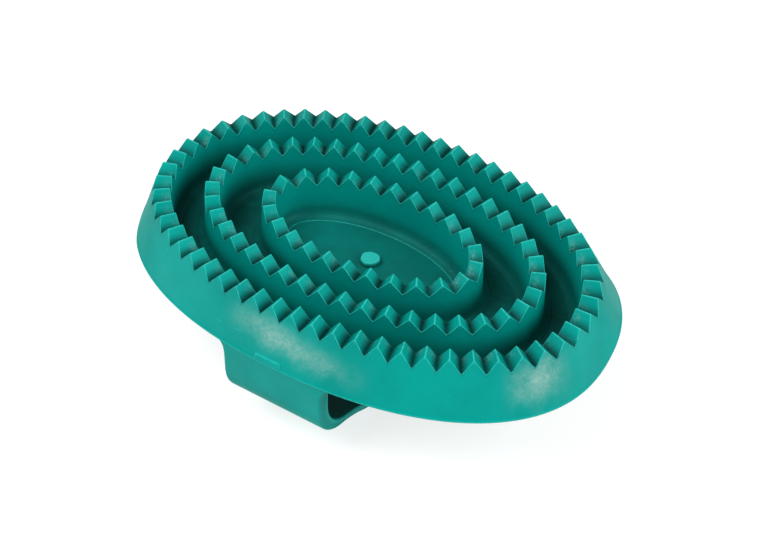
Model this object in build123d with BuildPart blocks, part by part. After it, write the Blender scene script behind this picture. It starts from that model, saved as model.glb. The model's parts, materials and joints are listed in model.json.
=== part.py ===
from build123d import *

import os
from math import copysign, cos, pi, radians, sin, sqrt, tan

# A hand-sized oval curry comb: three oval walls with saw teeth stand on an oval back, and a
# strap for the hand arches under it. It is one rubber moulding, divided here where its regions
# meet. Frame: +X along the oval's long axis, +Y across it, +Z towards the tooth tips, origin at
# the middle of the strap's flat underside, under the middle of the comb.

# ---------------------------------------------------------------- driving dimensions, mm
rim_z = 35.0  # plane of the rim's widest outline
rim_half_length = 82.5
rim_half_width = 55.2
rim_exponent = 2.17  # of the oval |x/a|^n + |y/b|^n = 1; 2 would be an ellipse

# measured up or down from the rim plane
crest_rise = 18.3
floor_rise = 2.1
rim_lip_depth = 0.5
back_depth = 1.8

rim_lip_inset = 0.35
back_inset = 4.0  # the underside is rounded off this far in from the rim

# each wall: half length and half width of its middle line, and the oval's exponent
outer_wall_oval = (73.0, 45.9, 2.14)
outer_wall_thickness = 5.0
outer_wall_teeth = 56
middle_wall_oval = (56.6, 32.7, 2.09)
middle_wall_thickness = 4.6
middle_wall_teeth = 40
inner_wall_oval = (36.5, 19.65, 2.05)
inner_wall_thickness = 4.1
inner_wall_teeth = 24

tooth_depth = 4.3
tooth_land = 0.45  # flat left on each ridge, all in one plane
notch_overlap = 0.5  # the notches are cut from this far outside a wall's faces
skirt_notch_reach = 2.5  # and on the skirt from here, as it is thicker lower down

gate_stub_radius = 3.0
gate_stub_rise = 2.2
gate_stub_rounding = 0.7

strap_half_width = 17.5
strap_edge_rounding = 0.9
wall_middle_y = 52.4  # middle of each upright strap wall
wall_half_thickness = 2.4
root_pivot_depth = 6.0  # the wall flexes here, just under its foot
corner_pivot_depth = 12.0  # and here, just above the corner
pivot_clearance = 0.06
seat_lip_angle = 50.0  # degrees that a round seat reaches up each side of the nose in it
foot_inner_y = 49.8
foot_flare = 4.0  # the foot widens this much towards the rim

palm_half_length = 31.0  # of the middle length of the band, which curves up at its ends
palm_flat_half_length = 16.0
palm_thickness = 2.3
palm_slope = 30.0  # degrees, at the ends of that middle length
shoulder_half_length = 40.0  # from here on the band bends down to that slope
shoulder_slope = 18.0  # degrees, where the band leaves the corner
corner_outer_radius = 15.0
corner_inner_radius = 14.0
open_joint_gap = 0.06  # between the palm band and the far corner

outline_points = 64  # on each oval

# ---------------------------------------------------------------- worked-out dimensions
crest_z = rim_z + crest_rise
floor_z = rim_z + floor_rise
back_z = rim_z - back_depth
root_pivot_z = rim_z - root_pivot_depth
corner_pivot_z = rim_z - corner_pivot_depth

lip_rise = (wall_half_thickness + pivot_clearance) * cos(radians(seat_lip_angle))
wall_outer_y = wall_middle_y + wall_half_thickness
wall_inner_y = wall_middle_y - wall_half_thickness

palm_curve_length = palm_half_length - palm_flat_half_length
palm_radius = palm_curve_length / sin(radians(palm_slope))
palm_outer_z = palm_radius * (1 - cos(radians(palm_slope)))
palm_inner_z = palm_radius - sqrt((palm_radius - palm_thickness) ** 2 - palm_curve_length**2)

steepening = sin(radians(palm_slope)) - sin(radians(shoulder_slope))
shoulder_radius = (shoulder_half_length - palm_half_length) / steepening
shoulder_drop = shoulder_radius * (cos(radians(shoulder_slope)) - cos(radians(palm_slope)))
shoulder_outer_z = palm_outer_z + shoulder_drop
shoulder_inner_z = shoulder_outer_z + palm_thickness / cos(radians(shoulder_slope))


# ---------------------------------------------------------------- ovals and teeth
def oval_point(half_length, half_width, exponent, angle):
    """A point of the oval |x/a|^n + |y/b|^n = 1."""
    x = half_length * copysign(abs(cos(angle)) ** (2 / exponent), cos(angle))
    y = half_width * copysign(abs(sin(angle)) ** (2 / exponent), sin(angle))
    return (x, y)


def oval_outline(half_length, half_width, exponent):
    """The closed line of an oval, starting on +X and running anticlockwise."""
    angles = [2 * pi * i / outline_points for i in range(outline_points)]
    points = [oval_point(half_length, half_width, exponent, angle) for angle in angles]
    with BuildLine() as outline:
        Spline(*points, periodic=True)
    return outline.line


def oval(half_length, half_width, exponent):
    """An oval face."""
    with BuildSketch() as face:
        with BuildLine():
            add(oval_outline(half_length, half_width, exponent))
        make_face()
    return face.sketch


def widened(some_oval, extra):
    """The same oval, moved out by extra."""
    half_length, half_width, exponent = some_oval
    return (half_length + extra, half_width + extra, exponent)


def tooth_notches(wall_oval, wall_thickness, teeth, reach_out):
    """The V notches between the teeth of one wall, as wedges that widen outwards.
    A notch lies on each end of both axes, and the ridges run square across the wall."""
    middle_line = oval_outline(*wall_oval).edge()
    half_pitch = middle_line.length / teeth / 2

    def upright_plane(station):
        """A plane across the wall's middle line, half pitches along it, facing outwards."""
        distance = (station % (2 * teeth)) * half_pitch
        along = middle_line.tangent_at(distance, position_mode=PositionMode.LENGTH)
        spot = middle_line.position_at(distance, position_mode=PositionMode.LENGTH)
        outward = along.cross(Vector(0, 0, 1))
        return Plane(spot + Vector(0, 0, crest_z), x_dir=along, z_dir=outward)

    overrun = 1.0  # the wedges end this far above the tips
    notches = []
    for notch in range(teeth):
        valley = upright_plane(2 * notch)
        ridges = [upright_plane(2 * notch - 1), upright_plane(2 * notch + 1)]
        sections = []
        for reach in (-wall_thickness / 2 - notch_overlap, wall_thickness / 2 + reach_out):
            ends = [ridge.from_local_coords((0, 0, reach)) for ridge in ridges]
            half_gap = (ends[1] - ends[0]).length / 2 - tooth_land / 2
            with BuildSketch(valley.offset(reach)) as section:
                with BuildLine():
                    Polyline(
                        (-half_gap, overrun),
                        (-half_gap, 0),
                        (0, -tooth_depth),
                        (half_gap, 0),
                        (half_gap, overrun),
                        close=True,
                    )
                make_face()
            sections.append(section.sketch)
        notches.append(loft(sections, ruled=True, mode=Mode.PRIVATE))
    return notches


def toothed_wall(wall_oval, wall_thickness, teeth):
    """An upright oval wall on the groove floor, with a saw-toothed crest."""
    with BuildPart() as wall:
        with BuildSketch(Plane.XY.offset(floor_z)):
            add(oval(*widened(wall_oval, wall_thickness / 2)))
            add(oval(*widened(wall_oval, -wall_thickness / 2)), mode=Mode.SUBTRACT)
        extrude(amount=crest_z - floor_z)
        add(tooth_notches(wall_oval, wall_thickness, teeth, notch_overlap), mode=Mode.SUBTRACT)
    return wall


# ---------------------------------------------------------------- the comb
rim_oval = (rim_half_length, rim_half_width, rim_exponent)
outer_wall_hollow = widened(outer_wall_oval, -outer_wall_thickness / 2)
skirt_levels = [
    (back_z, widened(rim_oval, -back_inset)),
    (rim_z - rim_lip_depth, widened(rim_oval, -rim_lip_inset)),
    (rim_z, rim_oval),
    (crest_z, widened(outer_wall_oval, outer_wall_thickness / 2)),
]

with BuildPart() as outer_comb_wall:
    for (low_z, low_oval), (high_z, high_oval) in zip(skirt_levels, skirt_levels[1:]):
        with BuildSketch(Plane.XY.offset(low_z)):
            add(oval(*low_oval))
        with BuildSketch(Plane.XY.offset(high_z)):
            add(oval(*high_oval))
        loft(ruled=True)
    with BuildSketch(Plane.XY.offset(back_z)):
        add(oval(*outer_wall_hollow))
    extrude(amount=crest_z - back_z, mode=Mode.SUBTRACT)
    add(
        tooth_notches(outer_wall_oval, outer_wall_thickness, outer_wall_teeth, skirt_notch_reach),
        mode=Mode.SUBTRACT,
    )
outer_comb_wall.part.label = "outer_comb_wall"

with BuildPart() as base_plate:
    with BuildSketch(Plane.XY.offset(back_z)):
        add(oval(*outer_wall_hollow))
    extrude(amount=floor_z - back_z)
base_plate.part.label = "base_plate"

middle_comb_wall = toothed_wall(middle_wall_oval, middle_wall_thickness, middle_wall_teeth)
middle_comb_wall.part.label = "middle_comb_wall"

inner_comb_wall = toothed_wall(inner_wall_oval, inner_wall_thickness, inner_wall_teeth)
inner_comb_wall.part.label = "inner_comb_wall"

with BuildPart() as gate_stub:
    with BuildSketch(Plane.XY.offset(floor_z)):
        Circle(gate_stub_radius)
    extrude(amount=gate_stub_rise)
    fillet(gate_stub.edges().group_by(Axis.Z)[-1], gate_stub_rounding)
gate_stub.part.label = "gate_stub"

# ---------------------------------------------------------------- the strap, near side (-Y)
# The wall flexes about two lines along X, where each of its ends is a round nose in a round
# seat. The foot's outer face follows the rim.

with BuildPart() as strap_near_foot:
    with BuildSketch(Plane.XZ.offset(foot_inner_y)):
        with BuildLine():
            flare_foot = (strap_half_width, root_pivot_z + lip_rise)
            flare_top = (strap_half_width + foot_flare, rim_z)
            right_flare = TangentArc(flare_foot, flare_top, tangent=(0, 1))
            left_flare = mirror(right_flare, about=Plane.YZ)
            Line(right_flare @ 0, left_flare @ 0)
            Line(right_flare @ 1, left_flare @ 1)
        make_face()
    extrude(amount=rim_half_width - foot_inner_y)
    with BuildSketch(Plane.XY.offset(root_pivot_z)):
        add(oval(*rim_oval))
    extrude(amount=root_pivot_depth, mode=Mode.INTERSECT)
    with BuildSketch(Plane.YZ):
        with Locations((-wall_middle_y, root_pivot_z)):
            Circle(wall_half_thickness + pivot_clearance)
    extrude(amount=2 * strap_half_width, both=True, mode=Mode.SUBTRACT)
    add(outer_comb_wall.part, mode=Mode.SUBTRACT)
    add(base_plate.part, mode=Mode.SUBTRACT)
strap_near_foot.part.label = "strap_near_foot"

with BuildPart() as strap_near_wall:
    with BuildSketch(Plane.YZ):
        with Locations((-wall_middle_y, (root_pivot_z + corner_pivot_z) / 2)):
            SlotCenterToCenter(root_pivot_z - corner_pivot_z, 2 * wall_half_thickness, rotation=90)
    extrude(amount=strap_half_width, both=True)
    fillet(strap_near_wall.faces().filter_by(Axis.X).edges(), strap_edge_rounding)
strap_near_wall.part.label = "strap_near_wall"

def corner_line(face_y, radius, shoulder_z, palm_z):
    """One face of the near corner: down the wall, round the bend and along the shoulder."""
    corner_z = shoulder_z + tan(radians(shoulder_slope)) * (face_y - shoulder_half_length)
    with BuildLine() as line:
        bend = FilletPolyline(
            (-face_y, rim_z),
            (-face_y, corner_z),
            (-shoulder_half_length, shoulder_z),
            radius=radius,
        )
        TangentArc(bend @ 1, (-palm_half_length, palm_z), tangent=bend % 1)
    return line.line


with BuildPart() as strap_near_corner:
    with BuildSketch(Plane.YZ):
        with BuildLine():
            add(corner_line(wall_outer_y, corner_outer_radius, shoulder_outer_z, palm_outer_z))
            add(corner_line(wall_inner_y, corner_inner_radius, shoulder_inner_z, palm_inner_z))
            Line((-wall_outer_y, rim_z), (-wall_inner_y, rim_z))
            Line((-palm_half_length, palm_outer_z), (-palm_half_length, palm_inner_z))
        make_face()
        with Locations((-wall_middle_y, rim_z)):
            above_lips = 2 * (rim_z - corner_pivot_z + lip_rise)
            Rectangle(4 * wall_half_thickness, above_lips, mode=Mode.SUBTRACT)
        with Locations((-wall_middle_y, corner_pivot_z)):
            Circle(wall_half_thickness + pivot_clearance, mode=Mode.SUBTRACT)
    extrude(amount=strap_half_width, both=True)
strap_near_corner.part.label = "strap_near_corner"

with BuildPart() as strap_palm_band:
    with BuildSketch(Plane.YZ):
        with BuildLine():
            for flat_z, end_z in ((0, palm_outer_z), (palm_thickness, palm_inner_z)):
                far_flat_end = (palm_flat_half_length, flat_z)
                far_curve = TangentArc(far_flat_end, (palm_half_length, end_z), tangent=(1, 0))
                near_curve = mirror(far_curve, about=Plane.YZ)
                Line(near_curve @ 0, far_curve @ 0)
            Line((palm_half_length, palm_outer_z), (palm_half_length, palm_inner_z))
            Line((-palm_half_length, palm_outer_z), (-palm_half_length, palm_inner_z))
        make_face()
    extrude(amount=strap_half_width, both=True)
strap_palm_band.part.label = "strap_palm_band"

# ---------------------------------------------------------------- the strap, far side (+Y)
with BuildPart() as strap_far_foot:
    add(mirror(strap_near_foot.part, about=Plane.XZ))
strap_far_foot.part.label = "strap_far_foot"

with BuildPart() as strap_far_wall:
    add(mirror(strap_near_wall.part, about=Plane.XZ))
strap_far_wall.part.label = "strap_far_wall"

with BuildPart() as strap_far_corner:
    add(mirror(strap_near_corner.part, about=Plane.XZ))
    split(bisect_by=Plane.XZ.offset(-palm_half_length - open_joint_gap), keep=Keep.BOTTOM)
strap_far_corner.part.label = "strap_far_corner"

# ---------------------------------------------------------------- files
os.makedirs("parts", exist_ok=True)
export_step(base_plate.part, "parts/base_plate.step")
export_step(outer_comb_wall.part, "parts/outer_comb_wall.step")
export_step(middle_comb_wall.part, "parts/middle_comb_wall.step")
export_step(inner_comb_wall.part, "parts/inner_comb_wall.step")
export_step(gate_stub.part, "parts/gate_stub.step")
export_step(strap_near_foot.part, "parts/strap_near_foot.step")
export_step(strap_near_wall.part, "parts/strap_near_wall.step")
export_step(strap_near_corner.part, "parts/strap_near_corner.step")
export_step(strap_palm_band.part, "parts/strap_palm_band.step")
export_step(strap_far_foot.part, "parts/strap_far_foot.step")
export_step(strap_far_wall.part, "parts/strap_far_wall.step")
export_step(strap_far_corner.part, "parts/strap_far_corner.step")
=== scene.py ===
import json
import math

import bpy
import numpy as np
from mathutils import Matrix, Vector


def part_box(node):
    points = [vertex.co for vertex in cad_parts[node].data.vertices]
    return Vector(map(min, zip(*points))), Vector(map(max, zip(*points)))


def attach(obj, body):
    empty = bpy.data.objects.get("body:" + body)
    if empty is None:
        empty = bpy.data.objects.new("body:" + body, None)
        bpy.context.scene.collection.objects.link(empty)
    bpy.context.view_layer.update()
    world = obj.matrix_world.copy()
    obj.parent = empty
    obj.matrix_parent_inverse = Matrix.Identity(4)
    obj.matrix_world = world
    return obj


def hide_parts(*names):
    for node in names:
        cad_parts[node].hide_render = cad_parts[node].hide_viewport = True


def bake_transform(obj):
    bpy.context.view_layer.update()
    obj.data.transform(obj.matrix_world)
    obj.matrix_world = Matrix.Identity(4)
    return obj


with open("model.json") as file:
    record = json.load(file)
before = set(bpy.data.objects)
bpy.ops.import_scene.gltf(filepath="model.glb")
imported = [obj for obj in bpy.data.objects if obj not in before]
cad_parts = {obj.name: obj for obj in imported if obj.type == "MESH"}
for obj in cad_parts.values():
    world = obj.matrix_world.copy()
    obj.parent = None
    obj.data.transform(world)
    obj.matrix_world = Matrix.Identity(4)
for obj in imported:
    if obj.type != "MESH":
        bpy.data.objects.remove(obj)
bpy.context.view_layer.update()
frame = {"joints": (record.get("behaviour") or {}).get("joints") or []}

# The oval rubber curry comb. Shapes are worked out in millimetres with heights from the plane
# of the rim, and put in the CAD's frame, in metres, when a mesh is made. +X is the long axis,
# the teeth point to +Z and the hand strap hangs under the rim.
MM = 0.001
rng = np.random.default_rng(7)


def low(node):
    return np.array(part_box(node)[0]) / MM


def high(node):
    return np.array(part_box(node)[1]) / MM


# ------------------------------------------------------------------ sizes, mm
RIM_Z = high("strap_near_foot")[2]  # height of the rim's plane in the CAD's frame
CREST = high("outer_comb_wall")[2] - RIM_Z
FLOOR = high("base_plate")[2] - RIM_Z
UNDERSIDE = low("base_plate")[2] - RIM_Z
TOOTH_DEPTH = 4.35
TIP_ROUND = 0.16  # rounding of the ridges
NOTCH_ROUND = 0.07  # and of the notches between them
TIP_WEAR = 0.10  # the most that wear takes off a ridge
TIP_WEAR_SLOPE = 0.35  # and how fast it runs out along the tooth
CREST_WANDER = 0.03  # slow unevenness of a crest's height
WALL_WANDER = 0.10  # and of a wall's line at the crest
CREST_CORNER = 0.26  # rounding where a tooth's slopes meet the sides of its wall
DRAFT = 0.05  # each side of a wall leans in by this much per mm of height
GROOVE_FILLET = 2.6
CENTRE_FILLET = 3.0
BURIED = 0.8  # how far a wall's hidden foot goes below the groove floor
RIM_UNDERCUT = 4.5  # the rim rolls under over this distance
FLARE_POWER = 1.03  # 1 is a straight skirt, more is a hollow one
# painted shade: darkening in the grooves, the notches between teeth, round the centre, on the
# underside and on the strap, where shade falls
PAINTED_SHADE_TOP = 0.9  # painted shade on the walls starts this far down, in tooth depths
PAINTED_SHADE_DEPTH = 12.5  # and is darkest this far below that
CENTRE_PAINTED_SHADE = 0.76  # on the centre's floor, as a share of that in the grooves
CENTRE_WALL_PAINTED_SHADE = 0.25  # and on the wall round it
CENTRE_BEND_PAINTED_SHADE = 0.17  # added in the bend between them
NOTCH_PAINTED_SHADE = 1.15
UNDERSIDE_PAINTED_SHADE = 0.6
HAIRLINE = 0.8  # how plainly the hairline on the centre floor shows
HAIRLINE_RISE = 0.05
PARTING_LINE = 0.55  # how plainly the mould's parting line shows round the rim
# the parting line's profile from top to bottom: height, how far out, how plain
PARTING_ROWS = [
    (0.30, 0.02, 0.2),
    (0.16, 0.10, 0.9),
    (0.0, 0.15, 1.0),
    (-0.16, 0.08, 0.9),
    (-0.30, 0.0, 0.2),
]
UNDERSIDE_DISH = 0.45
TAB_X = (-5.8, 3.6)
TAB_HEIGHTS = (0.25, 2.7)
TAB_THICKNESS = 0.45
TAB_SINK = 0.12  # the tab's rounded edge starts this far inside the skirt
TAB_ROUND = 0.6
TAB_BACK = 1.0  # and its hidden back lies this far inside
STUB_ROUND = 0.35
STUB_FILLET = 0.3
# places on the skirt with dust and a painted sheen: where and how wide in shares of a lap, height,
# spread, strength
DUST_AND_SHEEN_PATCHES = [
    (0.740, 0.045, 10.5, 4.0, 0.80),
    (0.765, 0.045, 8.0, 3.5, 0.75),
    (0.795, 0.040, 7.0, 3.5, 0.50),
    (0.948, 0.030, 10.5, 6.0, 1.30),
]
SKIRT_WAVES = [(0.075, 0.065, 2.7), (0.545, 0.035, -0.7)]  # where, how wide, how far out
SAG_X, SAG_LENGTH = 80.0, -1.29  # the soft comb droops this much this far along it
SAG_Y, SAG_WIDTH = 50.0, 1.70  # and lifts this much this far across it
SAG_FADE = 3.5  # the strap follows that fully this far above its root's pivot

STRAP_HALF = high("strap_near_wall")[0] + 0.3
STRAP_OUTER = -low("strap_near_wall")[1]
STRAP_INNER = -high("strap_near_wall")[1]
JOINT_Z = {joint["name"]: joint["pos_m"][2] / MM - RIM_Z for joint in frame["joints"]}
ROOT_PIVOT = JOINT_Z["strap_lean"]
CORNER_PIVOT = JOINT_Z["near_corner_flex"]
PALM_HALF = high("strap_palm_band")[1]
PALM_THICKNESS = 2.3
PALM_FLAT_HALF = 16.0
PALM_SLOPE = math.radians(30.0)  # at the ends of the middle length of the band
SHOULDER_HALF = 40.0
SHOULDER_SLOPE = math.radians(18.0)  # where the band leaves the corner
OUTER_BEND = 15.0
INNER_BEND = 14.0
CROWN = low("strap_palm_band")[2] - RIM_Z
WALL_TOP = 0.9  # the strap's wall goes up inside the skirt this far above the rim
WALL_ROWS = 30
PALM_ROWS = 30  # of points from the shoulder to the middle of the palm band
FLAT_ROWS = 10  # of those, on the flat
ROOT_FLARE = 4.2  # the strap widens this much at the rim, each side
ROOT_FLARE_HEIGHT = 5.2
ROOT_FILLET = 2.6
RIM_FOLLOW = (-5.0, 4.6)  # where the wall starts to follow the rim's curve, over what height
RIM_INSET = 0.10  # it then lies this far inside the rim
INSIDE_LEAN = 0.75  # above the rim it leans inwards by this much per mm, to stay in the skirt
STRAP_ROUND = 0.8  # rounding of the strap's edges
SIDE_DEPTHS = (0.3125, 0.6875)  # places on the strap's narrow sides, outer to inner
SIDE_SHADE = -0.28  # marks on the strap, as strap_section gives them: painted shade on its narrow sides
INNER_SHADE_AND_HIGHLIGHT = (-1.0, 0.3)  # and painted shade on the start of its inner corners, a painted highlight on the rest of them


class Oval:
    """The closed oval |x/a|^n + |y/b|^n = 1 in the rim plane."""

    def __init__(self, a, b, n):
        self.a, self.b, self.n = a, b, n
        angle = np.linspace(0, 2 * math.pi, 14401)
        c, s = np.cos(angle), np.sin(angle)
        self.line = np.stack(
            [a * np.sign(c) * np.abs(c) ** (2 / n), b * np.sign(s) * np.abs(s) ** (2 / n)], axis=1
        )
        steps = np.linalg.norm(np.diff(self.line, axis=0), axis=1)
        self.travel = np.concatenate([[0.0], np.cumsum(steps)])
        self.length = self.travel[-1]

    def points(self, share):
        """Points at shares of the way round, starting on +X and going anticlockwise."""
        at = np.mod(share, 1.0) * self.length
        return np.stack([np.interp(at, self.travel, self.line[:, k]) for k in (0, 1)], axis=1)

    def normals(self, p):
        """Outward unit normals at points of the oval."""
        scale = np.array([self.a, self.b])
        slope = np.sign(p) * np.abs(p / scale) ** (self.n - 1) / scale
        return slope / np.linalg.norm(slope, axis=1, keepdims=True)

    def reach(self, p, direction):
        """How far each point p inside the oval is from it, along direction."""
        near, far = np.zeros(len(p)), np.full(len(p), 2 * self.a)
        for _ in range(50):
            middle = (near + far) / 2
            q = p + direction * middle[:, None]
            inside = np.abs(q[:, 0] / self.a) ** self.n + np.abs(q[:, 1] / self.b) ** self.n < 1
            near, far = np.where(inside, middle, near), np.where(inside, far, middle)
        return near


RIM = Oval(high("outer_comb_wall")[0], high("outer_comb_wall")[1], 2.17)


class Wall:
    """One ring of teeth: its middle line, thickness at the crest and number of teeth."""

    def __init__(self, node, oval, thickness, teeth):
        self.node, self.oval, self.half, self.teeth = node, oval, thickness / 2, teeth


def ring_oval(node, thickness, exponent):
    """The middle line of a ring wall, half a thickness inside the outline of a CAD node."""
    size = high(node) - thickness / 2
    return Oval(size[0], size[1], exponent)


OUTER = Wall("outer_comb_wall", ring_oval("base_plate", -5.0, 2.14), 5.0, 56)
MIDDLE = Wall("middle_comb_wall", ring_oval("middle_comb_wall", 4.6, 2.09), 4.6, 40)
INNER = Wall("inner_comb_wall", ring_oval("inner_comb_wall", 4.1, 2.05), 4.1, 24)


# ------------------------------------------------------------------ mesh helpers
def ease(t):
    """0 to 1 with a smooth start and end."""
    t = np.clip(t, 0.0, 1.0)
    return t * t * (3 - 2 * t)


def arc(count):
    """Angles from 0 to a quarter turn."""
    return np.linspace(0, math.pi / 2, count)


def sag(x, y):
    """How far the soft comb lies above its flat shape; nothing at the strap's two walls."""
    strap_y = (STRAP_OUTER + STRAP_INNER) / 2
    return SAG_LENGTH * (x / SAG_X) ** 2 + SAG_WIDTH * (y**2 - strap_y**2) / SAG_Y**2


def build(name, points, faces, marks, sharp_faces=()):
    """A mesh object from points in mm, with its float point attributes. sharp_faces are the
    numbers of flat caps, which meet the rest at sharp edges."""
    mesh = bpy.data.meshes.new(name)
    points = np.array(points, dtype=float)
    follow = ease((points[:, 2] - ROOT_PIVOT) / SAG_FADE)
    points[:, 2] += RIM_Z + sag(points[:, 0], points[:, 1]) * follow
    mesh.from_pydata((points * MM).tolist(), [], faces)
    for key, values in marks.items():
        layer = mesh.attributes.new(key, "FLOAT", "POINT")
        layer.data.foreach_set("value", np.asarray(values, np.float32))
    mesh.shade_smooth()
    edge_of = {tuple(sorted(e.vertices)): e for e in mesh.edges} if sharp_faces else {}
    for index in sharp_faces:
        for key in mesh.polygons[index].edge_keys:
            edge_of[tuple(sorted(key))].use_edge_sharp = True
    mesh.validate()
    obj = bpy.data.objects.new(name, mesh)
    bpy.context.scene.collection.objects.link(obj)
    return obj


def grid_faces(rows, columns, wrap_rows):
    """Quads over a grid whose columns close on themselves, and whose rows may."""
    faces = []
    for i in range(rows if wrap_rows else rows - 1):
        j = (i + 1) % rows
        for k in range(columns):
            m = (k + 1) % columns
            faces.append((i * columns + k, j * columns + k, j * columns + m, i * columns + m))
    return faces


# ------------------------------------------------------------------ rings of teeth
def tooth_shares():
    """Positions within one tooth, in pitches from its ridge, close together where it turns."""
    half = np.array([0.0, 0.014, 0.03, 0.055, 0.1, 0.18, 0.27, 0.36, 0.42, 0.46, 0.482, 0.494])
    return np.concatenate([half, [0.5], -half[:0:-1]])


def ring_stations(wall):
    """Shares of the way round, signed distance to the nearest ridge in pitches, tooth numbers.
    A notch lies on each end of both axes."""
    within = np.sort(tooth_shares())
    tooth = np.repeat(np.arange(wall.teeth), len(within))
    offset = np.tile(within, wall.teeth)
    return (tooth + 0.5 + offset) / wall.teeth, offset, tooth


def crest_heights(wall, offset, tooth):
    """Height of the saw-toothed crest at each station, with slight wear from tooth to tooth."""
    pitch = wall.oval.length / wall.teeth
    run = np.abs(offset) * pitch
    slope = TOOTH_DEPTH / (pitch / 2)
    from_tip = np.sqrt(run**2 + TIP_ROUND**2) - TIP_ROUND
    notch_run = pitch / 2 - run
    notch_fill = np.sqrt(notch_run**2 + NOTCH_ROUND**2) - notch_run
    wear = TIP_WEAR * rng.random(wall.teeth) ** 2
    worn_tip = np.maximum(wear[tooth] - run * TIP_WEAR_SLOPE, 0)
    return CREST - slope * (from_tip - notch_fill) - worn_tip


def wobble(share, seed, size):
    """A slow wander round a ring, in mm."""
    waves = np.random.default_rng(seed)
    total = np.zeros_like(share)
    for cycles in (2, 3, 5, 7, 11):
        total += waves.normal() * np.sin(2 * math.pi * cycles * share + waves.random() * 6.3) / cycles
    return size * total


def bell(share, middle, width):
    """1 at a place on the ring, falling smoothly to 0 at width either side. In shares of a lap."""
    away = np.abs((share - middle + 0.5) % 1.0 - 0.5)
    return ease(1 - away / width)


def flare(height):
    """How far out the skirt is at a height: 0 at the crest, 1 at the rim."""
    return np.clip((CREST - height) / CREST, 0, 1) ** FLARE_POWER


def side_heights(top, foot, rows):
    """Heights down the side of a wall, from just under its crest corner to its foot."""
    steps = np.linspace(0, 1, rows + 1)[1:]
    down = top[:, None] + (foot - top[:, None]) * steps[None, :]
    return np.concatenate([top[:, None] - 0.12, down], axis=1)


class Section:
    """A closed cross-section for every station of a ring, gathered point by point: offsets
    outwards from the wall's middle line, heights, and marks for the material."""

    def __init__(self, count):
        self.count = count
        self.columns = {"offset": [], "height": [], "edge": [], "slope": [], "skirt": []}

    def add(self, offset, height, **marks):
        shape = np.broadcast_shapes(np.shape(offset), np.shape(height), (self.count, 1))
        values = {"edge": 0.0, "slope": 0.0, "skirt": 0.0, "offset": offset, "height": height, **marks}
        for key, column in self.columns.items():
            column.append(np.broadcast_to(values[key], shape))

    def whole(self, key):
        return np.concatenate(self.columns[key], axis=1)


def leaning(wall, height):
    """Half the thickness of a drafted wall at a height."""
    return wall.half + DRAFT * (CREST - height)


def add_side(section, wall, shoulder, sign, fillet, downwards):
    """One drafted side of a wall with its root fillet. sign is -1 for the inside of the ring."""
    rise = arc(8)[::-1]
    root = FLOOR + fillet
    heights = side_heights(shoulder, root, 6)
    foot_offset = leaning(wall, root) + fillet * (1 - np.sin(rise))
    foot_height = FLOOR + fillet * (1 - np.cos(rise))
    pieces = [
        (sign * leaning(wall, heights), heights),
        (sign * foot_offset[None, 1:], foot_height[None, 1:]),
        (sign * foot_offset[-1], FLOOR - BURIED),
    ]
    if not downwards:
        pieces = [(np.atleast_2d(o)[:, ::-1], np.atleast_2d(h)[:, ::-1]) for o, h in pieces[::-1]]
    for offset, height in pieces:
        section.add(offset, height)


def add_corner(section, side_offset, shoulder, sign, downwards):
    """The rounded corner between the crest and a side whose offset depends on height."""
    bend = arc(7)[::-1] if downwards else arc(7)
    heights = shoulder[:, None] + CREST_CORNER * np.sin(bend)[None, :]
    inset = CREST_CORNER * (1 - np.cos(bend))[None, :]
    # a pale line along the rounded corner: partly wear, partly painted highlight
    section.add(sign * (side_offset(heights) - inset), heights, edge=np.sin(2 * bend)[None, :] ** 2)


def ring_section(wall, top, reach, inner_fillet, outer_fillet):
    """The wall's closed cross-section at every station, from the hidden foot on the inside, up
    and over the crest, and down the outside. reach is how far out the rim is, if there is one."""
    section = Section(len(top))
    shoulder = top - CREST_CORNER
    across = np.concatenate([[0.03], np.linspace(0, 1, 8)[1:-1], [0.97]])[None, :]

    def straight(height):
        return leaning(wall, height)

    def skirt(height):
        return wall.half + (reach[:, None] - wall.half) * flare(height)

    side = straight if reach is None else skirt
    add_side(section, wall, shoulder, -1, inner_fillet, False)
    add_corner(section, straight, shoulder, -1, False)
    left = CREST_CORNER - straight(top[:, None])
    right = side(top[:, None]) - CREST_CORNER
    section.add(left + (right - left) * across, top[:, None], slope=1.0)
    add_corner(section, side, shoulder, 1, True)
    if reach is None:
        add_side(section, wall, shoulder, 1, outer_fillet, True)
        return section
    heights = side_heights(shoulder, 0.45, 18)
    section.add(skirt(heights), heights, skirt=1.0)
    for height, out, edge in PARTING_ROWS:
        section.add(reach[:, None] + out, height, edge=edge * PARTING_LINE, skirt=1.0)
    # the rolled edge: a smooth curve from the rim in to the underside
    t = np.linspace(0, 1, 12)[2:]
    inward = 3 * (1 - t) * t**2 * 1.6 + t**3 * RIM_UNDERCUT
    down = 3 * (1 - t) ** 2 * t * 0.55 + (3 * (1 - t) * t**2 + t**3) * -UNDERSIDE
    section.add(reach[:, None] - inward[None, :], -down[None, :])
    section.add(reach[:, None] - RIM_UNDERCUT - 1.5, UNDERSIDE + 0.9)
    return section


def painted_shade_at(top, across, height, skirt, centre):
    """How much painted shade darkens a point: the grooves most, their walls from just under the
    teeth, the notches between teeth, and the open centre least."""
    on_wall = ease((CREST - PAINTED_SHADE_TOP * TOOTH_DEPTH - height) / PAINTED_SHADE_DEPTH) * (1 - skirt)
    if centre:
        rise = (height - FLOOR) / CENTRE_FILLET
        root = CENTRE_PAINTED_SHADE * ease(1.35 - rise / 1.7)
        root += CENTRE_BEND_PAINTED_SHADE * np.exp(-(((rise - 0.30) / 0.35) ** 2))
        on_wall = np.where(across < 0, np.maximum(on_wall * CENTRE_WALL_PAINTED_SHADE, root), on_wall)
    notch = np.clip((CREST - top) / TOOTH_DEPTH, 0, 1)[:, None]
    crest = np.clip(1 - (top[:, None] - height) / 0.5, 0, 1)
    return np.maximum(on_wall, ease((notch - 0.25) / 0.75) * crest * NOTCH_PAINTED_SHADE)


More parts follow.
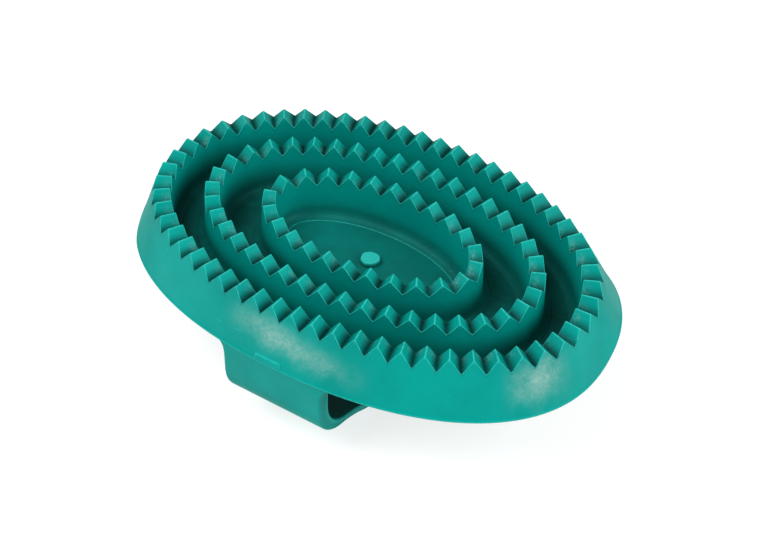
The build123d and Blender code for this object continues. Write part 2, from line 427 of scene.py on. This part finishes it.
def ring(wall, inner_fillet, outer_fillet, seed, with_skirt=False):
    """A whole ring of teeth as one closed mesh."""
    share, offset, tooth = ring_stations(wall)
    line = wall.oval.points(share)
    normal = wall.oval.normals(line)
    reach = skirt_reach(share, line, normal) if with_skirt else None
    top = crest_heights(wall, offset, tooth) + wobble(share, seed, CREST_WANDER)
    section = ring_section(wall, top, reach, inner_fillet, outer_fillet)
    across, height = section.whole("offset"), section.whole("height")
    skirt = section.whole("skirt")
    stations, columns = across.shape
    sway = wobble(share, seed + 1, WALL_WANDER)[:, None] * np.clip((height - FLOOR) / CREST, 0, 1)
    flat = line[:, None, :] + normal[:, None, :] * (across + sway)[:, :, None]
    points = np.concatenate([flat, height[:, :, None]], axis=2).reshape(-1, 3)
    # pale lines on the ridges and crest corners: partly wear, partly painted highlight
    ridge = np.exp(-((np.abs(offset) / 0.03) ** 2))[:, None]
    near_crest = np.clip(1 - (top[:, None] - height) / 0.6, 0, 1)
    edge = np.maximum(section.whole("edge"), ridge * near_crest)
    ends = np.abs(line[:, 0]) / wall.oval.a
    worn = np.clip(rng.random(wall.teeth)[tooth] * 0.75 + ends**3 * 0.45, 0, 1)[:, None]
    down = np.clip((CREST - top) / TOOTH_DEPTH, 0, 1)[:, None]
    smudge = np.exp(-(((down - 0.55) / 0.3) ** 2)) * np.exp(-(((across + 0.6 * wall.half) / 1.4) ** 2))
    # dust on the skirt, partly a painted sheen
    dusty = sum(
        amount * bell(share, middle, width)[:, None] * np.exp(-(((height - level) / spread) ** 2))
        for middle, width, level, spread, amount in DUST_AND_SHEEN_PATCHES
    )
    marks = {
        "edge": edge,
        "worn": section.whole("slope") * worn * smudge,
        # painted shade in the grooves, the notches and round the centre
        "grime": painted_shade_at(top, across, height, skirt, wall is INNER),
        "dusty": dusty * skirt,
    }
    marks = {key: values.ravel() for key, values in marks.items()}
    faces = grid_faces(stations, columns, True)
    return build(wall.node + "_skin", points, faces, marks)


def skirt_reach(share, line, normal):
    """How far the rim is outside the outer wall's middle line, with the skirt's soft waves."""
    waves = sum(out * bell(share, middle, width) for middle, width, out in SKIRT_WAVES)
    return RIM.reach(line, normal) + waves


def tab():
    """The small raised tab on the skirt, just above the rim over the strap."""
    x = np.linspace(TAB_X[0], TAB_X[1], 48)
    share = 0.75 + x / OUTER.oval.length
    line = OUTER.oval.points(share)
    normal = OUTER.oval.normals(line)
    reach = skirt_reach(share, line, normal)
    heights = np.linspace(TAB_HEIGHTS[0], TAB_HEIGHTS[1], 16)
    from_end = np.minimum(x - x[0], x[-1] - x)
    from_edge = np.minimum(heights - heights[0], heights[-1] - heights)
    inset = np.minimum(from_end[:, None], from_edge[None, :])
    out = OUTER.half + (reach[:, None] - OUTER.half) * flare(heights)[None, :]
    front = out - TAB_SINK + (TAB_THICKNESS + TAB_SINK) * ease(inset / TAB_ROUND)
    # a painted highlight round the tab's rounded edge
    edge = 0.5 * np.exp(-(((inset - 0.55) / 0.2) ** 2))
    across = np.concatenate([front, out[:, ::-1] - TAB_BACK], axis=1)
    height = np.concatenate([heights, heights[::-1]])[None, :] * np.ones((len(x), 1))
    flat = line[:, None, :] + normal[:, None, :] * across[:, :, None]
    sections = np.concatenate([flat, height[:, :, None]], axis=2)
    edges = np.concatenate([edge, np.zeros_like(edge)], axis=1)
    return tube("rim_tab_skin", sections, edges)


# ------------------------------------------------------------------ back plate and stub
def turned(name, outlines, heights, marks_rows):
    """A closed body from oval rows between a top pole and a bottom pole."""
    rows, count = len(outlines), len(outlines[0])
    points = [np.column_stack([o, np.broadcast_to(h, count)]) for o, h in zip(outlines, heights)]
    points = np.concatenate(points + [[[0, 0, heights[0][0]], [0, 0, heights[-1][0]]]])
    faces = grid_faces(rows, count, False)
    top_pole, bottom_pole = rows * count, rows * count + 1
    faces += [(top_pole, k, (k + 1) % count) for k in range(count)]
    last = (rows - 1) * count
    faces += [(bottom_pole, last + (k + 1) % count, last + k) for k in range(count)]
    marks = {
        key: np.concatenate([np.repeat(values, count), [values[0], values[-1]]])
        for key, values in marks_rows.items()
    }
    return build(name, points, faces, marks)


def plate():
    """The oval back. Its upper side is the groove floors, with the hairline that the mould left
    round the middle; its underside is slightly dished."""
    share = np.arange(720) / 720
    wall_line = OUTER.oval.points(share)
    normal = OUTER.oval.normals(wall_line)
    reach = RIM.reach(wall_line, normal)
    inner_line = INNER.oval.points(share)
    inner_normal = INNER.oval.normals(inner_line)
    hairline = INNER.half + DRAFT * (CREST - FLOOR - CENTRE_FILLET) + CENTRE_FILLET
    witness = inner_line - inner_normal * hairline
    under_wall = wall_line - normal * OUTER.half * 0.5
    outlines, heights, marks = [], [], {"edge": [], "grime": []}

    def row(outline, height, edge=0.0, grime=0.0):
        outlines.append(outline)
        heights.append(np.full(1, height))
        marks["edge"].append(edge)
        marks["grime"].append(grime)

    # painted shade: some on the centre floor and its hairline, full in the grooves, some on the
    # underside
    for scale in np.linspace(0.04, 0.96, 12):
        row(witness * scale, FLOOR, grime=CENTRE_PAINTED_SHADE)
    for across, lift in ((-0.16, 0.0), (-0.06, 0.7), (0.0, 1.0), (0.06, 0.7), (0.16, 0.0)):
        plain = HAIRLINE if lift else 0.0
        row(witness + inner_normal * across, FLOOR + HAIRLINE_RISE * lift, plain, CENTRE_PAINTED_SHADE)
    for blend in np.linspace(0, 1, 14)[1:]:
        row(witness + (under_wall - witness) * blend, FLOOR, grime=1.0)
    outside = wall_line + normal * (reach - RIM_UNDERCUT)[:, None]
    row(outside - normal * 1.2, UNDERSIDE + 1.0)
    row(outside - normal * 0.05, UNDERSIDE + 0.03)
    for scale in np.linspace(1, 0.03, 24)[1:]:
        dish = UNDERSIDE_DISH * float(ease((1 - scale) / 0.22))
        row(outside * scale, UNDERSIDE + dish, grime=UNDERSIDE_PAINTED_SHADE)
    return turned("base_plate_skin", outlines, heights, marks)


def stub():
    """The small stub where the rubber entered the mould, cut off flat and not quite round."""
    base = low("gate_stub")[2] - RIM_Z
    top = high("gate_stub")[2] - RIM_Z - 0.05
    radius = high("gate_stub")[0]
    angle = np.arange(64) / 64 * 2 * math.pi
    uneven = 1 + 0.035 * np.sin(2 * angle + 0.6) + 0.03 * np.sin(3 * angle) + 0.015 * np.sin(7 * angle)
    ring_line = np.column_stack([np.cos(angle), np.sin(angle)]) * uneven[:, None]
    outlines, heights, marks = [], [], {"edge": [], "pale": [], "grime": []}

    def row(r, height, edge=0.0, pale=0.0, grime=0.0):
        outlines.append(ring_line * r)
        heights.append(np.full(1, height))
        for key, value in (("edge", edge), ("pale", pale), ("grime", grime)):
            marks[key].append(value)

    for r, height in ((0.4, top - 0.05), (0.9, top), (1.4, top - 0.03), (1.9, top), (2.3, top)):
        row(r, height, pale=1.0)
    # pale edge marks on the rounded rim: partly wear, partly painted highlight
    for t in arc(6):
        out, down = STUB_ROUND * math.sin(t), STUB_ROUND * (1 - math.cos(t))
        row(radius - STUB_ROUND + out, top - down, edge=0.4, pale=0.8)
    # painted shade at the stub's foot, darkest in its fillet
    row(radius, base + 1.0, grime=0.6)
    for t in arc(5):
        out, up = STUB_FILLET * (1 - math.cos(t)), STUB_FILLET * (1 - math.sin(t))
        row(radius + out, base + up, grime=0.9)
    row(radius + STUB_FILLET, base - BURIED)
    row(0.4, base - BURIED)
    return turned("gate_stub_skin", outlines, heights, marks)


# ------------------------------------------------------------------ the hand strap
def slope_points(centre, radius, slopes):
    """Points of an arc in (y, z) where a line that runs to +Y falls at the given slopes. A
    negative radius is an arc that is hollow upwards."""
    return centre + radius * np.column_stack([np.sin(slopes), np.cos(slopes)])


def strap_lines():
    """Matching points of the strap's outer and inner faces, in (y, z), from the near rim to the
    middle of the palm band: the wall, the bend, the shoulder and half of the middle length."""
    steepening = math.sin(PALM_SLOPE) - math.sin(SHOULDER_SLOPE)
    palm_radius = (PALM_HALF - PALM_FLAT_HALF) / math.sin(PALM_SLOPE)
    palm_centre = np.array([-PALM_FLAT_HALF, CROWN + palm_radius])
    shoulder_radius = (SHOULDER_HALF - PALM_HALF) / steepening
    palm_end = slope_points(palm_centre, -palm_radius, np.array([PALM_SLOPE]))[0]
    away = shoulder_radius * np.array([math.sin(PALM_SLOPE), math.cos(PALM_SLOPE)])
    shoulder_centre = palm_end - away
    palm_slopes = np.linspace(PALM_SLOPE, 0, PALM_ROWS - FLAT_ROWS + 1)[1:]
    flat = np.linspace(-PALM_FLAT_HALF, 0, FLAT_ROWS + 1)[1:]
    shoulder_slopes = np.linspace(SHOULDER_SLOPE, PALM_SLOPE, 13)
    turn = math.pi / 2 - SHOULDER_SLOPE
    faces = ((-STRAP_OUTER, OUTER_BEND, 0.0), (-STRAP_INNER, INNER_BEND, PALM_THICKNESS))
    lines = []
    for face_y, bend, depth in faces:
        palm = slope_points(palm_centre, depth - palm_radius, palm_slopes)
        shoulder = slope_points(shoulder_centre, shoulder_radius + depth, shoulder_slopes)
        run = shoulder[0][0] - face_y
        corner_z = shoulder[0][1] + math.tan(SHOULDER_SLOPE) * run
        tangent = bend * math.tan(turn / 2)
        upright = np.linspace(WALL_TOP, corner_z + tangent, WALL_ROWS)
        wall = np.column_stack([np.full(WALL_ROWS, face_y), upright])
        bend_centre = np.array([face_y + bend, corner_z + tangent])
        bend_slopes = np.linspace(math.pi / 2, SHOULDER_SLOPE, 25)[1:]
        rounded = slope_points(bend_centre, -bend, bend_slopes)
        middle = np.column_stack([flat, np.full(len(flat), CROWN + depth)])
        lines.append(np.concatenate([wall, rounded, shoulder, palm, middle]))
    return lines


def section_loop():
    """Places round the strap's section: across (-1 to 1), depth (0 outer face to 1 inner face),
    and the kind of place: None on a face, "side" on a narrow side, or for a point that rounds a
    corner (sign across, face, turn)."""
    loop = []
    for share in np.linspace(-1, 1, 19):
        loop.append((share, 0.0, None))
    for t in arc(6)[1:]:
        loop.append((1, 0.0, (1, 0, t)))
    for depth in SIDE_DEPTHS:
        loop.append((1, depth, "side"))
    for t in arc(6):
        loop.append((1, 1.0, (1, 1, t)))
    for share in np.linspace(1, -1, 19)[1:]:
        loop.append((share, 1.0, None))
    for t in arc(6)[1:]:
        loop.append((-1, 1.0, (-1, 1, t)))
    for depth in reversed(SIDE_DEPTHS):
        loop.append((-1, depth, "side"))
    for t in arc(6)[:-1]:
        loop.append((-1, 0.0, (-1, 0, t)))
    return loop


def fillet_reach(size, share):
    """How far a quarter-round fillet reaches out at a share of its height."""
    return size * (1 - math.sqrt(1 - np.clip(share, 0, 0.97) ** 2))


def strap_section(outer, inner):
    """One cross-section of the strap as points, with marks: above 0 a painted highlight, below 0
    painted shade.
    """
    z = outer[1]
    thickness = np.linalg.norm(inner - outer)
    inwards = (inner - outer) / thickness
    half = STRAP_HALF
    on_wall = outer[0] < -STRAP_OUTER + 0.01
    if on_wall:
        half += fillet_reach(ROOT_FLARE, z / ROOT_FLARE_HEIGHT + 1)
        thickness += fillet_reach(ROOT_FILLET, (z - UNDERSIDE) / ROOT_FILLET + 1)
    outer_round = min(STRAP_ROUND, thickness * 0.46)
    inner_round = min(STRAP_ROUND, thickness * 0.4)
    points, edges = [], []
    for share, depth, kind in section_loop():
        # painted shade over the whole inner face
        edge = 0.0 if depth == 0 else -1.0
        if kind is None:
            rounding = outer_round if depth == 0 else inner_round
            x = share * (half - rounding)
            d = depth * thickness
        elif kind == "side":
            x = share * half
            d = outer_round + (thickness - outer_round - inner_round) * depth
            edge = SIDE_SHADE
        else:
            sign, face, t = kind
            rounding = outer_round if face == 0 else inner_round
            # going round: outer right and inner left leave a face, the other two arrive at one
            leaving = (sign > 0) == (face == 0)
            s = t if leaving else math.pi / 2 - t
            x = sign * (half - rounding + rounding * math.sin(s))
            inset = rounding * (1 - math.cos(s))
            d = inset if face == 0 else thickness - inset
            # painted shade round the outer corners and the start of the inner ones, a painted
            # highlight on the rest of the inner ones
            edge = SIDE_SHADE * math.sin(s) if face == 0 else INNER_SHADE_AND_HIGHLIGHT[int(s > 0.3)]
        y, height = outer + inwards * d
        if on_wall:
            rim_y = RIM.b * (1 - abs(x / RIM.a) ** RIM.n) ** (1 / RIM.n)
            follow = float(ease((z - RIM_FOLLOW[0]) / RIM_FOLLOW[1]))
            y -= follow * (rim_y - RIM_INSET - STRAP_OUTER) * (1 - d / thickness)
            y += max(z, 0.0) * INSIDE_LEAN
        points.append((x, y, height))
        edges.append(edge)
    return points, edges


def strap_piece(name, stations, far):
    """A closed length of the strap between two stations. far mirrors it to the +Y side."""
    outer, inner = strap_lines()
    points, edges = [], []
    for index in stations:
        section, marks = strap_section(outer[index], inner[index])
        points.append(section)
        edges.append(marks)
    points = np.array(points)
    if far:
        points[:, :, 1] *= -1
        points = points[::-1]
        edges = edges[::-1]
    return tube(name, points, np.array(edges))


def tube(name, sections, edges):
    """A closed body from a run of sections, with flat caps."""
    count, columns = sections.shape[:2]
    faces = grid_faces(count, columns, False)
    first = tuple(range(columns))
    last = tuple((count - 1) * columns + k for k in reversed(range(columns)))
    caps = [len(faces), len(faces) + 1]
    faces += [first, last]
    # marks above 0 are a painted highlight, those below 0 painted shade
    marks = {"edge": np.clip(edges, 0, 1).ravel(), "grime": np.clip(-edges, 0, 1).ravel()}
    return build(name, sections.reshape(-1, 3), faces, marks, caps)


def palm_piece(name):
    """The whole palm band, both halves in one body."""
    outer, inner = strap_lines()
    start = len(outer) - PALM_ROWS - 1
    half = [strap_section(outer[i], inner[i]) for i in range(start, len(outer))]
    near = np.array([h[0] for h in half])
    marks = np.array([h[1] for h in half])
    far = near[::-1][1:].copy()
    far[:, :, 1] *= -1
    return tube(name, np.concatenate([near, far]), np.concatenate([marks, marks[::-1][1:]]))


def strap():
    """The five lengths of the strap: a root and a bend on each side, and the palm band on its body."""
    outer, _ = strap_lines()
    heights = outer[:WALL_ROWS, 1]
    middle = int(np.argmin(np.abs(heights - (ROOT_PIVOT + CORNER_PIVOT) / 2)))
    end = len(outer) - PALM_ROWS - 1
    root, bend = range(0, middle + 1), range(middle, end + 1)
    bodies = {"near": ("strap_near", "strap_palm", -1), "far": ("strap_far", "strap_far_turn", 1)}
    pieces = []
    for side, (wall_body, turn_body, sign) in bodies.items():
        root_piece = strap_piece(f"strap_{side}_root_skin", root, side == "far")
        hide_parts(f"strap_{side}_foot", f"strap_{side}_wall")
        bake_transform(root_piece)
        bend_piece = strap_piece(f"strap_{side}_bend_skin", bend, side == "far")
        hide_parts(f"strap_{side}_corner")
        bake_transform(bend_piece)
        pieces += [root_piece, bend_piece]
    palm = palm_piece("strap_palm_skin")
    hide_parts("strap_palm_band")
    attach(palm, "strap_palm")
    return pieces + [palm]


# ------------------------------------------------------------------ material
class Nodes:
    """Short calls for building one node tree."""

    def __init__(self, material):
        material.use_nodes = True
        self.tree = material.node_tree
        self.tree.nodes.clear()

    def new(self, kind, **settings):
        node = self.tree.nodes.new(kind)
        for key, value in settings.items():
            setattr(node, key, value)
        return node

    def plug(self, source, target):
        self.tree.links.new(source, target)

    def value(self, socket, source):
        """Set a socket to a number or colour, or link it to another node's output."""
        if isinstance(source, (int, float, tuple)):
            socket.default_value = source
        else:
            self.plug(source, socket)

    def math(self, operation, a, b=0.0, clamp=False):
        node = self.new("ShaderNodeMath", operation=operation, use_clamp=clamp)
        self.value(node.inputs[0], a)
        self.value(node.inputs[1], b)
        return node.outputs[0]

    def mix(self, share, a, b, blend="MIX"):
        node = self.new("ShaderNodeMix", data_type="RGBA", blend_type=blend)
        self.value(node.inputs[0], share)
        self.value(node.inputs[6], a)
        self.value(node.inputs[7], b)
        return node.outputs[2]

    def noise(self, scale, detail=3.0, roughness=0.55):
        """Noise in the object's own metres."""
        place = self.new("ShaderNodeTexCoord").outputs["Object"]
        node = self.new("ShaderNodeTexNoise")
        self.plug(place, node.inputs["Vector"])
        node.inputs["Scale"].default_value = scale
        node.inputs["Detail"].default_value = detail
        node.inputs["Roughness"].default_value = roughness
        return node.outputs[0]

    def ramp(self, source, start, end):
        """Smoothly 0 below start to 1 above end."""
        node = self.new("ShaderNodeMapRange", interpolation_type="SMOOTHSTEP")
        self.plug(source, node.inputs["Value"])
        node.inputs["From Min"].default_value = start
        node.inputs["From Max"].default_value = end
        return node.outputs[0]

    def span(self, source, start, end, at_start, at_end):
        """Smoothly from one value to another."""
        node = self.ramp(source, start, end).node
        node.inputs["To Min"].default_value = at_start
        node.inputs["To Max"].default_value = at_end
        return node.outputs[0]

    def scratches(self, turn, threshold):
        """Fine straight marks, all roughly one way."""
        place = self.new("ShaderNodeTexCoord").outputs["Object"]
        mapping = self.new("ShaderNodeMapping")
        self.plug(place, mapping.inputs[0])
        mapping.inputs["Rotation"].default_value = (0, 0, turn)
        mapping.inputs["Scale"].default_value = (60, 2600, 900)
        node = self.new("ShaderNodeTexNoise")
        self.plug(mapping.outputs[0], node.inputs["Vector"])
        node.inputs["Scale"].default_value = 1.0
        node.inputs["Detail"].default_value = 1.0
        return self.ramp(node.outputs[0], threshold, threshold + 0.03)

    def bump(self, height, strength, distance, under=None):
        node = self.new("ShaderNodeBump", invert=strength < 0)
        node.inputs["Strength"].default_value = abs(strength)
        node.inputs["Distance"].default_value = distance
        self.plug(height, node.inputs["Height"])
        if under:
            self.plug(under, node.inputs["Normal"])
        return node.outputs[0]

    def mark(self, name):
        """One of the marks that build() puts on the mesh; 0 where a mesh doesn't have it."""
        node = self.new("ShaderNodeAttribute", attribute_name=name)
        return node.outputs["Fac"]


def rubber():
    """Satin teal rubber: slow colour variation, painted shade in the grooves, pale edges that are
    partly wear and partly painted highlight, chalky scuffs near the tooth tips, pale powder and a
    painted sheen on the skirt, fine scratches and a moulded grain."""
    material = bpy.data.materials.new("teal_rubber")
    n = Nodes(material)
    deep = (0.0, 0.225, 0.193, 1.0)
    fresh = (0.0, 0.275, 0.237, 1.0)
    # painted shade for the grooves and hollows, also the colour of dark specks
    shade_and_speck = (0.003, 0.032, 0.028, 1.0)
    # pale teal of worn places, also used as a painted highlight along edges
    worn = (0.04, 0.50, 0.44, 1.0)
    chalk = (0.26, 0.56, 0.52, 1.0)
    # dust, partly a painted sheen
    dust_and_sheen_tone = (0.46, 0.52, 0.47, 1.0)

    color = n.mix(n.ramp(n.noise(38, 4.0), 0.3, 0.72), deep, fresh)
    color = n.mix(n.math("MULTIPLY", n.mark("pale"), 0.45), color, worn)
    # painted shade where the mesh marks it
    grime = n.math("MULTIPLY", n.mark("grime"), n.span(n.noise(70, 4.0), 0.3, 0.7, 0.70, 0.90))
    color = n.mix(grime, color, shade_and_speck)

    # pale edges: partly wear, partly painted highlight
    edge_break = n.span(n.noise(900, 3.0), 0.25, 0.6, 0.25, 1.0)
    edge = n.math("MULTIPLY", n.mark("edge"), edge_break)
    color = n.mix(n.math("MULTIPLY", edge, 0.75), color, worn)

    patch = n.ramp(n.noise(120, 3.0), 0.40, 0.62)
    grit = n.ramp(n.noise(1300, 4.0, 0.7), 0.36, 0.66)
    scuff = n.math("MULTIPLY", n.math("MULTIPLY", n.mark("worn"), patch), grit)
    color = n.mix(n.math("MULTIPLY", scuff, 0.34), color, chalk)

    # dust on the skirt, partly a painted sheen
    cloud = n.ramp(n.noise(75, 5.0, 0.6), 0.33, 0.66)
    speckle = n.span(n.noise(900, 4.0, 0.65), 0.35, 0.65, 0.55, 1.0)
    bloom_and_sheen = n.math("MULTIPLY", n.math("MULTIPLY", n.mark("dusty"), cloud), speckle)
    color = n.mix(n.math("MULTIPLY", bloom_and_sheen, 0.38), color, dust_and_sheen_tone)

    scratch = n.math("MAXIMUM", n.scratches(0.5, 0.755), n.scratches(-0.7, 0.765))
    color = n.mix(n.math("MULTIPLY", scratch, 0.2), color, worn)
    fleck = n.ramp(n.noise(1500, 2.0), 0.71, 0.78)
    color = n.mix(n.math("MULTIPLY", fleck, 0.3), color, shade_and_speck)

    roughness = n.span(n.noise(60, 4.0), 0.2, 0.8, 0.40, 0.56)
    dulled = n.math("MULTIPLY", n.math("ADD", scuff, bloom_and_sheen), 0.22)
    roughness = n.math("ADD", roughness, dulled, True)

    grain = n.bump(n.noise(3800, 3.0), 0.10, 0.00006)
    ripple = n.bump(n.noise(110, 2.0), 0.20, 0.0006, grain)
    scored = n.bump(scratch, -0.25, 0.0001, ripple)

    shader = n.new("ShaderNodeBsdfPrincipled")
    n.plug(color, shader.inputs["Base Color"])
    n.plug(roughness, shader.inputs["Roughness"])
    n.plug(scored, shader.inputs["Normal"])
    grazing = n.new("ShaderNodeLayerWeight")
    sheen = n.span(grazing.outputs["Facing"], 0.20, 0.65, 0.24, 0.03)
    n.plug(sheen, shader.inputs["Specular IOR Level"])
    shader.inputs["Specular Tint"].default_value = (0.12, 0.85, 0.80, 1.0)
    output = n.new("ShaderNodeOutputMaterial")
    n.plug(shader.outputs[0], output.inputs["Surface"])
    return material


def floor_paint():
    """Matt white paper, lit a little so that shadows stay faint, and clear when seen from below."""
    material = bpy.data.materials.new("pale_floor")
    n = Nodes(material)
    shader = n.new("ShaderNodeBsdfPrincipled")
    shader.inputs["Base Color"].default_value = (0.38, 0.38, 0.38, 1.0)
    shader.inputs["Roughness"].default_value = 0.9
    shader.inputs["Emission Color"].default_value = (1.0, 1.0, 1.0, 1.0)
    shader.inputs["Emission Strength"].default_value = 0.72
    sheer = n.new("ShaderNodeBsdfTransparent")
    side = n.new("ShaderNodeNewGeometry")
    both = n.new("ShaderNodeMixShader")
    n.plug(side.outputs["Backfacing"], both.inputs[0])
    n.plug(shader.outputs[0], both.inputs[1])
    n.plug(sheer.outputs[0], both.inputs[2])
    output = n.new("ShaderNodeOutputMaterial")
    n.plug(both.outputs[0], output.inputs["Surface"])
    return material


# ------------------------------------------------------------------ the comb
skins = [
    ring(OUTER, GROOVE_FILLET, None, 11, with_skirt=True),
    ring(MIDDLE, GROOVE_FILLET, GROOVE_FILLET, 23),
    ring(INNER, CENTRE_FILLET, GROOVE_FILLET, 37),
    plate(),
    stub(),
]
for skin in skins:
    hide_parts(skin.name.removesuffix("_skin"))
    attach(skin, "comb")
rim_tab = tab()
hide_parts("outer_comb_wall")
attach(rim_tab, "comb")
skins += [rim_tab] + strap()

finish = rubber()
for skin in skins:
    skin.data.materials.append(finish)


# ------------------------------------------------------------------ stage, light and camera
def stage_floor():
    """A large pale floor that the flat of the strap rests on."""
    half = 6000.0
    gap = 0.02  # so that the two flats don't flicker into each other
    corners = [(-half, -half, 0), (half, -half, 0), (half, half, 0), (-half, half, 0)]
    mesh = bpy.data.meshes.new("floor")
    mesh.from_pydata((np.array(corners) * MM).tolist(), [], [(0, 1, 2, 3)])
    floor = bpy.data.objects.new("floor", mesh)
    floor.location.z = -gap * MM
    floor.data.materials.append(floor_paint())
    bpy.context.scene.collection.objects.link(floor)


def soft_light(name, azimuth, elevation, distance, size, power, gloss):
    """A square area light that looks at the comb. Azimuth 0 is in front, at -Y. gloss is the
    strength of its reflections."""
    a, e = math.radians(azimuth), math.radians(elevation)
    away = Vector((math.sin(a) * math.cos(e), -math.cos(a) * math.cos(e), math.sin(e))) * distance
    data = bpy.data.lights.new(name, "AREA")
    data.size = size
    data.energy = power
    data.specular_factor = gloss
    lamp = bpy.data.objects.new(name, data)
    lamp.location = away + Vector((0, 0, RIM_Z * MM))
    lamp.rotation_euler = (-away).to_track_quat("-Z", "Y").to_euler()
    bpy.context.scene.collection.objects.link(lamp)


def camera():
    """The view from above the front right, half a metre away."""
    azimuth, elevation, roll = math.radians(31.533), math.radians(42.882), math.radians(1.566)
    back = Vector(
        (
            math.sin(azimuth) * math.cos(elevation),
            -math.cos(azimuth) * math.cos(elevation),
            math.sin(elevation),
        )
    )
    level = Vector((math.cos(azimuth), math.sin(azimuth), 0))
    upright = back.cross(level)
    right = math.cos(roll) * level + math.sin(roll) * upright
    up = back.cross(right)
    data = bpy.data.cameras.new("camera")
    data.lens = 73.33
    data.sensor_width = 36.0
    data.clip_start = 0.01
    cam = bpy.data.objects.new("camera", data)
    distance, shift_right, shift_up = 497.1, 3.24, -0.41
    middle = Vector((0, 0, RIM_Z + sag(0, 0)))
    spot = (middle + distance * back + shift_right * right + shift_up * up) * MM
    rotation = Matrix((right, up, back)).transposed().to_4x4()
    cam.matrix_world = Matrix.Translation(spot) @ rotation
    bpy.context.scene.collection.objects.link(cam)
    bpy.context.scene.camera = cam


def world_light(strength):
    world = bpy.data.worlds.new("soft_room")
    world.use_nodes = True
    shade = world.node_tree.nodes["Background"]
    shade.inputs["Color"].default_value = (1.0, 1.0, 1.0, 1.0)
    shade.inputs["Strength"].default_value = strength
    bpy.context.scene.world = world


stage_floor()
soft_light("key", azimuth=-36, elevation=57, distance=0.9, size=0.55, power=7.7, gloss=1.0)
soft_light("fill", azimuth=98, elevation=32, distance=1.0, size=0.7, power=8.0, gloss=0.3)
world_light(0.38)
camera()
bpy.context.scene.view_settings.view_transform = "Standard"
